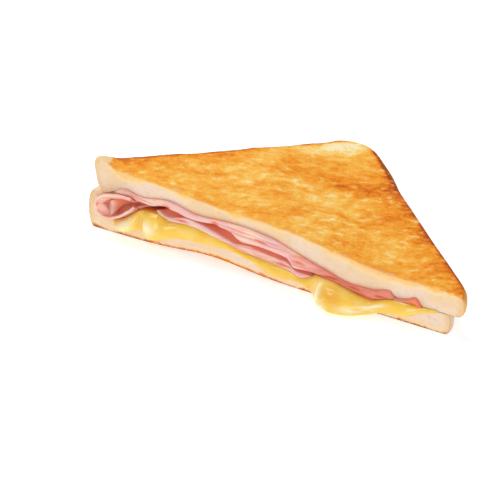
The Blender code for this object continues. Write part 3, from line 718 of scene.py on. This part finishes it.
def cheeseMaterial():
    look = cheeseLook
    paint = Paint("glossyCheese", {
        "Roughness": 0.26, "Specular IOR Level": 0.5, "Subsurface Weight": 0.35,
        "Subsurface Radius": (3.0, 1.9, 0.6), "Subsurface Scale": 1.2 * mm,
        "Coat Weight": 0.25, "Coat Roughness": 0.12})
    cloud = paint.noise(7 * mm, 2, 0.5, 0.4)
    fine = paint.noise(1.4 * mm, 2, 0.5)
    # painted shade: a deeper yellow where the run stands out little, along its top and bottom edges, which turn
    # from the light
    edgeShade = 1 - paint.band(paint.mark("runThickness"), 0.5, 4.5)
    colour = paint.mix(paint.band(cloud, 0.4, 0.68) * 0.7, look["yellow"], look["pale"])
    colour = paint.mix(edgeShade * 0.35, colour, look["shadeYellow"])
    # painted shade: the drip's hollow is coloured a deeper yellow
    colour = paint.mix(paint.band(paint.mark("hollow"), 0.2, 2.0) * 0.7, colour, look["shadeYellow"])
    # painted highlight: near-white mixed in where the light catches the run
    colour = paint.mix(paint.mark("milky") * 0.8, colour, look["highlightWhite"])
    # painted shade: red-brown in the cavity under the ham
    colour = paint.mix(paint.mark("juice"), colour, look["juice"])
    paint.feed("Base Color", colour)
    paint.feed("Roughness", 0.7 + fine * 0.12 - paint.mark("shine") * 0.54)
    paint.feed("Coat Weight", paint.mark("shine") * 0.25)
    paint.bump(cloud * 0.6 + fine * 0.08, 0.5 * mm, 0.18)
    return paint.material


cheesePiece(cheeseMaterial())


# Ham

hamLook = {
    # "hollows" lie between the folds: x, z and their radii in mm
    "upper": {"ends": (-67 * mm, 52.6 * mm), "sections": 620, "stand": 1.5 * mm, "seed": 501, "fatty": 0.0,
              "overlap": 0.5 * mm,  # how far its front edge rises over the edge of the slice above
              "hollows": ((-22.6, 18.0, 1.5, 1.7), (-43.6, 19.3, 1.4, 0.8), (-39, 17.6, 2.2, 0.6),
                          (-3, 16.6, 3.0, 0.4), (27, 10.2, 3.2, 0.5), (36, 8.5, 3.2, 0.5), (41, 6.4, 3.4, 0.5),
                          (47, 8.3, 2.6, 0.5), (13, 12.5, 2.4, 0.5))},
    "lower": {"ends": (-48 * mm, 19 * mm), "sections": 360, "stand": 1.2 * mm, "seed": 601, "fatty": 1.2,
              "overlap": 0.0,
              "hollows": ((-37, 15.2, 3.0, 0.5), (6, 9.2, 4.0, 0.6))},
    "frontPoints": 44,
    "backPoints": 18,
    "endRounding": 60,
    "narrowest": 0.44 * mm,
    "gap": 0.01 * mm,
    "foldLength": 17 * mm,
    "foldHeight": 2.1 * mm,
    "roundness": 0.28,
    "crease": 0.32 * mm,
    "hollowDepth": 1.3 * mm,
    "rose": tint(234, 156, 136),
    "blush": tint(246, 208, 190),
    "mauve": tint(232, 184, 186),
    "salmon": tint(220, 104, 80),
    "red": tint(246, 128, 82),
}


def hamSheets(name, node, part, lower, upper, material):
    # one closed surface between two heights; long winding creases part its front edge into folds, and each
    # crease follows the zero line of a noise drawn out along the cut
    look = hamLook
    share = np.linspace(0, 1, part["sections"])[:, None]
    cutX = part["ends"][0] + (part["ends"][1] - part["ends"][0]) * share
    ends = np.sqrt(np.clip(np.minimum(share, 1 - share) * look["endRounding"], 0.04, 1))
    x, y, depth = fillingRows(cutX, look["backPoints"], 1.8)

    def bounds(px, py):
        low, high = lower(px, py) + look["gap"], upper(px, py) - look["gap"]
        middle = (low + high) / 2
        half = np.maximum(high - low, look["narrowest"]) / 2 * ends
        return middle - half, middle + half

    low, high = bounds(x, y)
    high = high + part["overlap"] * np.exp(-depth / (0.8 * mm))
    high[:, -1] = low[:, -1] + 0.2 * mm
    across = np.linspace(0, 1, look["frontPoints"])[None, :]
    lowCut, highCut = bounds(cutX, np.full_like(cutX, cutY))
    frontZ = lowCut + (highCut + part["overlap"] - lowCut) * across
    field = np.dstack([cutX / look["foldLength"] + 0 * across, 0 * frontZ,
                       frontZ / look["foldHeight"] + 0.03 * cutX / mm])
    fold = softNoise(field, 1.0, part["seed"], 1)
    ruffle = softNoise(field * (1.6, 1, 0.4), 1.0, part["seed"] + 9, 2)
    crease = hump(fold, 0, 0.1)
    rounded = (4 * across * (1 - 0.98 * across)) ** look["roundness"]
    hollow = sum(hump(cutX, atX * mm, long * mm) * hump(frontZ, atZ * mm, tall * mm)
                 for atX, atZ, long, tall in part["hollows"])
    frontY = cutY - rounded * (part["stand"] * (0.8 + 0.5 * ruffle) + 0.35 * mm * fold) * (0.3 + 0.7 * ends)
    frontY = frontY + (look["crease"] * crease + look["hollowDepth"] * hollow) * rounded
    front = np.dstack([cutX + 0 * frontY, frontY, frontZ])
    sections = np.concatenate([np.dstack([x, y, low])[:, ::-1], front, np.dstack([x, y, high])], axis=1)
    # painted shade: faces behind the cut and the hollows between folds are marked for the red of shaded insides
    # lit through the ham
    inner = smoothStep(-0.6 * mm, 0.8 * mm, y - cutY)
    tone = smoothStep(-0.12, 0.12, fold) + part["fatty"] * smoothStep(-41 * mm, -46 * mm, cutX)
    # painted shade: the creases between the folds are darkened towards salmon
    marks = {"edgeLine": np.concatenate([0 * low, crease, 0 * high], axis=1),
             "sheetTone": np.concatenate([0 * low + 0.5, tone, 0 * high + 0.5], axis=1),
             "inside": np.concatenate([inner[:, ::-1], np.minimum(hollow, 1), inner], axis=1)}
    placePiece(slabPiece(name, sections, material, marks), node)


rollLook = {
    "centre": (-64.4 * mm, 14.7 * mm),
    "halfLength": 10.6 * mm,
    "halfHeight": 6.3 * mm,
    "tilt": math.radians(23),
    "tuckIn": (1 * mm, -1.3 * mm),
    "thickness": 1.2 * mm,
    "margin": 0.8 * mm,
    "overBread": 1.2 * mm,
    "front": -3 * mm,
    "reach": 11 * mm,
    "ruffle": 0.7 * mm,
    "rumple": 0.16 * mm,
    "opening": 0.78,
    "steps": 260,
    "depthSteps": 34,
}


def rollLine(turn, depth, tuck):
    # a drop: length * cos(turn) along its tilted axis, height * sin(turn) * sin(turn / 2) across it
    look, behind = rollLook, np.maximum(depth, 0)
    length = look["halfLength"] * (1 - 0.1 * tuck)
    height = look["halfHeight"] * (1 - 0.12 * tuck) * (1 - 0.03 * behind / mm)
    u = length * np.cos(turn)
    w = height * np.sin(turn) * np.sin(turn / 2)
    cos, sin = math.cos(look["tilt"]), math.sin(look["tilt"])
    middleX, middleZ = (place + tuckIn * tuck for place, tuckIn in zip(look["centre"], look["tuckIn"]))
    x = middleX + u * cos - w * sin + behind
    y = cutY + behind
    z = middleZ + u * sin + w * cos
    clear = 0.25 * mm + look["thickness"] / 2
    margin = look["margin"]
    overBread = bottomTop(x, y) + look["overBread"]
    floor = np.where(x > cheeseLook["left"] - margin, np.maximum(cheeseUpper(x, y), overBread), overBread)
    ceiling = np.where(x > hamLook["upper"]["ends"][0] - margin, upperHamLower(x, y), topUnder(x, y))
    return x, z + (np.clip(z, floor + clear, ceiling - clear) - z) * tuck


def rollPiece(material):
    # the wall's two faces lie half a thickness to each side of the drop line, and meet in a rounded front edge
    look = rollLook
    turn = np.linspace(look["opening"], 2 * math.pi - look["opening"], look["steps"])[:, None]
    across = np.linspace(0, 1, look["depthSteps"])[None, :]
    line = np.concatenate([np.cos(turn), np.sin(turn), 0 * turn], axis=1) * 9 * mm
    ruffle = look["ruffle"] * softNoise(line, 4 * mm, 701, 2)[:, None]
    depth = (look["front"] - ruffle) + (look["reach"] + ruffle) * across ** 1.3
    tuck = smoothStep(-2.6 * mm, -0.2 * mm, depth)
    x, z = rollLine(turn, depth, tuck)
    ahead, behind = rollLine(turn + 0.02, depth, tuck), rollLine(turn - 0.02, depth, tuck)
    tangent = np.stack([ahead[0] - behind[0], ahead[1] - behind[1]])
    tangent = tangent / np.linalg.norm(tangent, axis=0)
    half = look["thickness"] / 2 * np.clip(np.sqrt(across * 26), 0.25, 1)
    rumple = look["rumple"] * softNoise(np.dstack([x, depth, z]), 3 * mm, 711, 2)
    x, z = x + tangent[1] * rumple, z - tangent[0] * rumple
    outer, inner = (np.dstack([x + tangent[1] * step, cutY + depth, z - tangent[0] * step])
                    for step in (half, -half))
    sections = np.concatenate([outer[:, ::-1], inner], axis=1)
    edge = np.exp(-across * 9) + 0 * turn
    # painted shade: red on the loop's inner face, growing towards the back where the roll is shaded
    inward = smoothStep(-2.6 * mm, 1.5 * mm, depth)
    marks = {"edgeLine": 0 * sections[..., 0], "sheetTone": np.concatenate([edge[:, ::-1], edge], axis=1),
             "inside": np.concatenate([0.5 * inward[:, ::-1], 0.15 + 0.6 * inward], axis=1)}
    placePiece(slabPiece("hamRoll", sections, material, marks), "ham_roll")


innerFoldLook = {
    "steps": 60,
    "around": 48,
    "depth": (-2.4 * mm, 4 * mm),  # in front of the cut and behind it
    "middle": (-67.6 * mm, 5.6 * mm),  # x at the front, and how far it leans right towards the back
    "low": (9.4 * mm, 3.2 * mm),  # z at the front, and how far it rises towards the back
    "high": 16 * mm,
    "bend": 0.5 * mm,
    "halfThickness": 0.55 * mm,
}


def innerFoldPiece(material):
    # an upright ruffle: its depth runs along the piece, its outline round each section is a thin ellipse
    look = innerFoldLook
    share = np.linspace(0, 1, look["steps"])[:, None]
    turn = np.linspace(0, 2 * math.pi, look["around"], endpoint=False)[None, :]
    depth = look["depth"][0] + (look["depth"][1] - look["depth"][0]) * share
    middleX = look["middle"][0] + look["middle"][1] * share ** 1.2
    low = look["low"][0] + look["low"][1] * smoothStep(0, 0.8, share)
    high = look["high"]
    bend = look["bend"] * np.sin(turn) ** 2 * np.cos(share * 3)
    half = look["halfThickness"] * np.sqrt(np.clip(np.minimum(share, 1 - share) * 20, 0.1, 1))
    x = middleX + half * np.cos(turn) + bend
    z = (low + high) / 2 + (high - low) / 2 * np.sin(turn)
    sections = np.dstack([x, cutY + depth + 0 * turn, z])
    # painted shade: the fold reddens towards the back, deeper inside the roll
    marks = {"edgeLine": 0 * x, "sheetTone": 1 + 0 * x, "inside": smoothStep(0.02, 0.4, share) + 0 * x}
    placePiece(slabPiece("hamInnerFold", sections, material, marks), "ham_inner_fold")


scrapLook = {
    "steps": 90,
    "ends": (52.2 * mm, 63.4 * mm),
    # behind the cut in mm, and the share of the wedge's height that the ham fills there
    "profile": ((8, 0.5), (6, 0.75), (4, 0.9), (2, 0.98), (0.8, 1), (0, 0.95), (-0.6, 0.8), (-1, 0.3)),
    "endRounding": 12,
    "towardsTop": 0.7,
}


def scrapPiece(material):
    # a rounded tongue of ham that fills the wedge between cheese and top slice
    look = scrapLook
    share = np.linspace(0, 1, look["steps"])[:, None]
    x = look["ends"][0] + (look["ends"][1] - look["ends"][0]) * share
    depth, filled = np.array(look["profile"]).T[:, None, :]
    depth = depth * mm
    y = cutY + np.maximum(depth, -0.2 * mm) + 0 * x
    low = np.maximum(cheeseUpper(x, y), bottomTop(x, y) + 0.5 * mm) + 0.05 * mm
    high = topUnder(x, y) - 0.02 * mm
    rounding = look["endRounding"]
    taper = np.sqrt(np.clip(share * rounding, 0.1, 1)) * np.sqrt(np.clip((1 - share) * rounding, 0.1, 1))
    half = (high - low) / 2 * filled * taper
    middle = low + half + (high - low - 2 * half) * look["towardsTop"]
    low, high = (np.dstack([x + 0 * y, cutY + depth + 0 * x, z]) for z in (middle - half, middle + half))
    sections = np.concatenate([low, high[:, ::-1]], axis=1)
    flat = 0 * sections[..., 0]
    redder = smoothStep(56 * mm, 60.5 * mm, x)
    marks = {"edgeLine": flat, "sheetTone": 1.6 * (1 - redder) + flat, "inside": redder + flat}
    placePiece(slabPiece("hamScrap", sections, material, marks), "ham_scrap")


def hamMaterial():
    look = hamLook
    paint = Paint("moistHam", {
        "Specular IOR Level": 0.45, "Subsurface Weight": 0.3,
        "Subsurface Radius": (2.6, 0.9, 0.6), "Subsurface Scale": 1 * mm,
        "Coat Weight": 0.12, "Coat Roughness": 0.25})
    streak = paint.noise(5 * mm, 3, 0.55, 0.4, paint.stretch((2.5, 1.0, 0.5)))
    mottle = paint.noise(1.6 * mm, 3, 0.6)
    wide = paint.noise(13 * mm, 2, 0.5)
    acrossCut = paint.node("ShaderNodeSeparateXYZ", {}, {0: paint.place}, 0)
    colour = paint.mix(paint.band(streak, 0.36, 0.62), look["rose"], look["blush"])
    colour = paint.mix(paint.mark("sheetTone") * 0.55, colour, look["blush"])
    colour = paint.mix(paint.band(wide, 0.44, 0.6) * 0.6, colour, look["mauve"])
    colour = paint.mix(paint.band(acrossCut, 0.01, 0.03) * 0.75, colour, look["salmon"])
    # painted shade in the creases between folds
    colour = paint.mix(paint.mark("edgeLine") * 0.28, colour, look["salmon"])
    # painted shade: red where the ham's insides and cavities lie in shade, glowing through the ham
    colour = paint.mix(paint.mark("inside") * 0.75, colour, look["red"])
    paint.feed("Base Color", colour)
    paint.feed("Roughness", 0.32 + mottle * 0.2)
    paint.bump(streak * 0.8 + mottle * 0.4, 0.4 * mm, 0.35)
    return paint.material


ham = hamMaterial()
hamSheets("hamUpperSheets", "ham_upper", hamLook["upper"], upperHamLower, topUnder, ham)
hamSheets("hamLowerSheets", "ham_lower", hamLook["lower"], cheeseUpper, lowerHamUpper, ham)
rollPiece(ham)
innerFoldPiece(ham)
scrapPiece(ham)


# Floor, light and camera

studio = {
    "floorSize": 6.0,
    "floorZ": -0.1 * mm,  # just clear of the flat underside
    "floorColour": (0.72, 0.75, 0.78, 1.0),
    "floorGlow": 0.52,
    "worldStrength": 0.46,
    "azimuth": 26.777,
    "elevation": 31.619,
    "roll": 1.96,
    "aim": (-11.141 * mm, cutY, 13.564 * mm),
    "distance": 0.7,
    "lens": 137.97,
    "sensor": 36.0,
    "lights": {
        "overheadSoft": {"towards": (-0.45, 0.25, 1.0), "distance": 0.9, "size": 0.45, "power": 3.7},
        "frontSoft": {"towards": (0.2, -1.0, 0.5), "distance": 1.0, "size": 0.55, "power": 3.0},
    },
}


def stageFloor():
    half = studio["floorSize"] / 2
    mesh = bpy.data.meshes.new("floor")
    z = studio["floorZ"]
    corners = [(-half, -half, z), (half, -half, z), (half, half, z), (-half, half, z)]
    mesh.from_pydata(corners, [], [(0, 1, 2, 3)])
    floor = bpy.data.objects.new("floor", mesh)
    bpy.context.scene.collection.objects.link(floor)
    paint = Paint("paperWhite", {
        "Base Color": studio["floorColour"], "Roughness": 0.9, "Specular IOR Level": 0.1,
        "Emission Color": (1, 1, 1, 1), "Emission Strength": studio["floorGlow"]})
    mesh.materials.append(paint.material)


def studioLight():
    world = bpy.data.worlds.new("studio")
    bpy.context.scene.world = world
    world.use_nodes = True
    background = world.node_tree.nodes["Background"]
    background.inputs["Color"].default_value = (1, 1, 1, 1)
    background.inputs["Strength"].default_value = studio["worldStrength"]
    for name, look in studio["lights"].items():
        data = bpy.data.lights.new(name, "AREA")
        data.size = look["size"]
        data.energy = look["power"]
        lamp = bpy.data.objects.new(name, data)
        direction = Vector(look["towards"]).normalized()
        lamp.location = direction * look["distance"]
        lamp.rotation_euler = direction.to_track_quat("Z", "Y").to_euler()
        bpy.context.scene.collection.objects.link(lamp)


def studioCamera():
    azimuth, elevation, roll = (math.radians(studio[key]) for key in ("azimuth", "elevation", "roll"))
    back = Vector((math.sin(azimuth) * math.cos(elevation), -math.cos(azimuth) * math.cos(elevation),
                   math.sin(elevation)))
    right = Vector((math.cos(azimuth), math.sin(azimuth), 0))
    up = back.cross(right)
    turnedRight = math.cos(roll) * right + math.sin(roll) * up
    turnedUp = -math.sin(roll) * right + math.cos(roll) * up
    data = bpy.data.cameras.new("camera")
    data.lens = studio["lens"]
    data.sensor_width = studio["sensor"]
    data.clip_start = 0.01
    camera = bpy.data.objects.new("camera", data)
    camera.matrix_world = Matrix.Translation(Vector(studio["aim"]) + back * studio["distance"]) @ Matrix(
        (turnedRight, turnedUp, back)).transposed().to_4x4()
    bpy.context.scene.collection.objects.link(camera)
    bpy.context.scene.camera = camera


stageFloor()
studioLight()
studioCamera()
bpy.context.scene.view_settings.view_transform = "Standard"
print("stage: floor, light and camera")
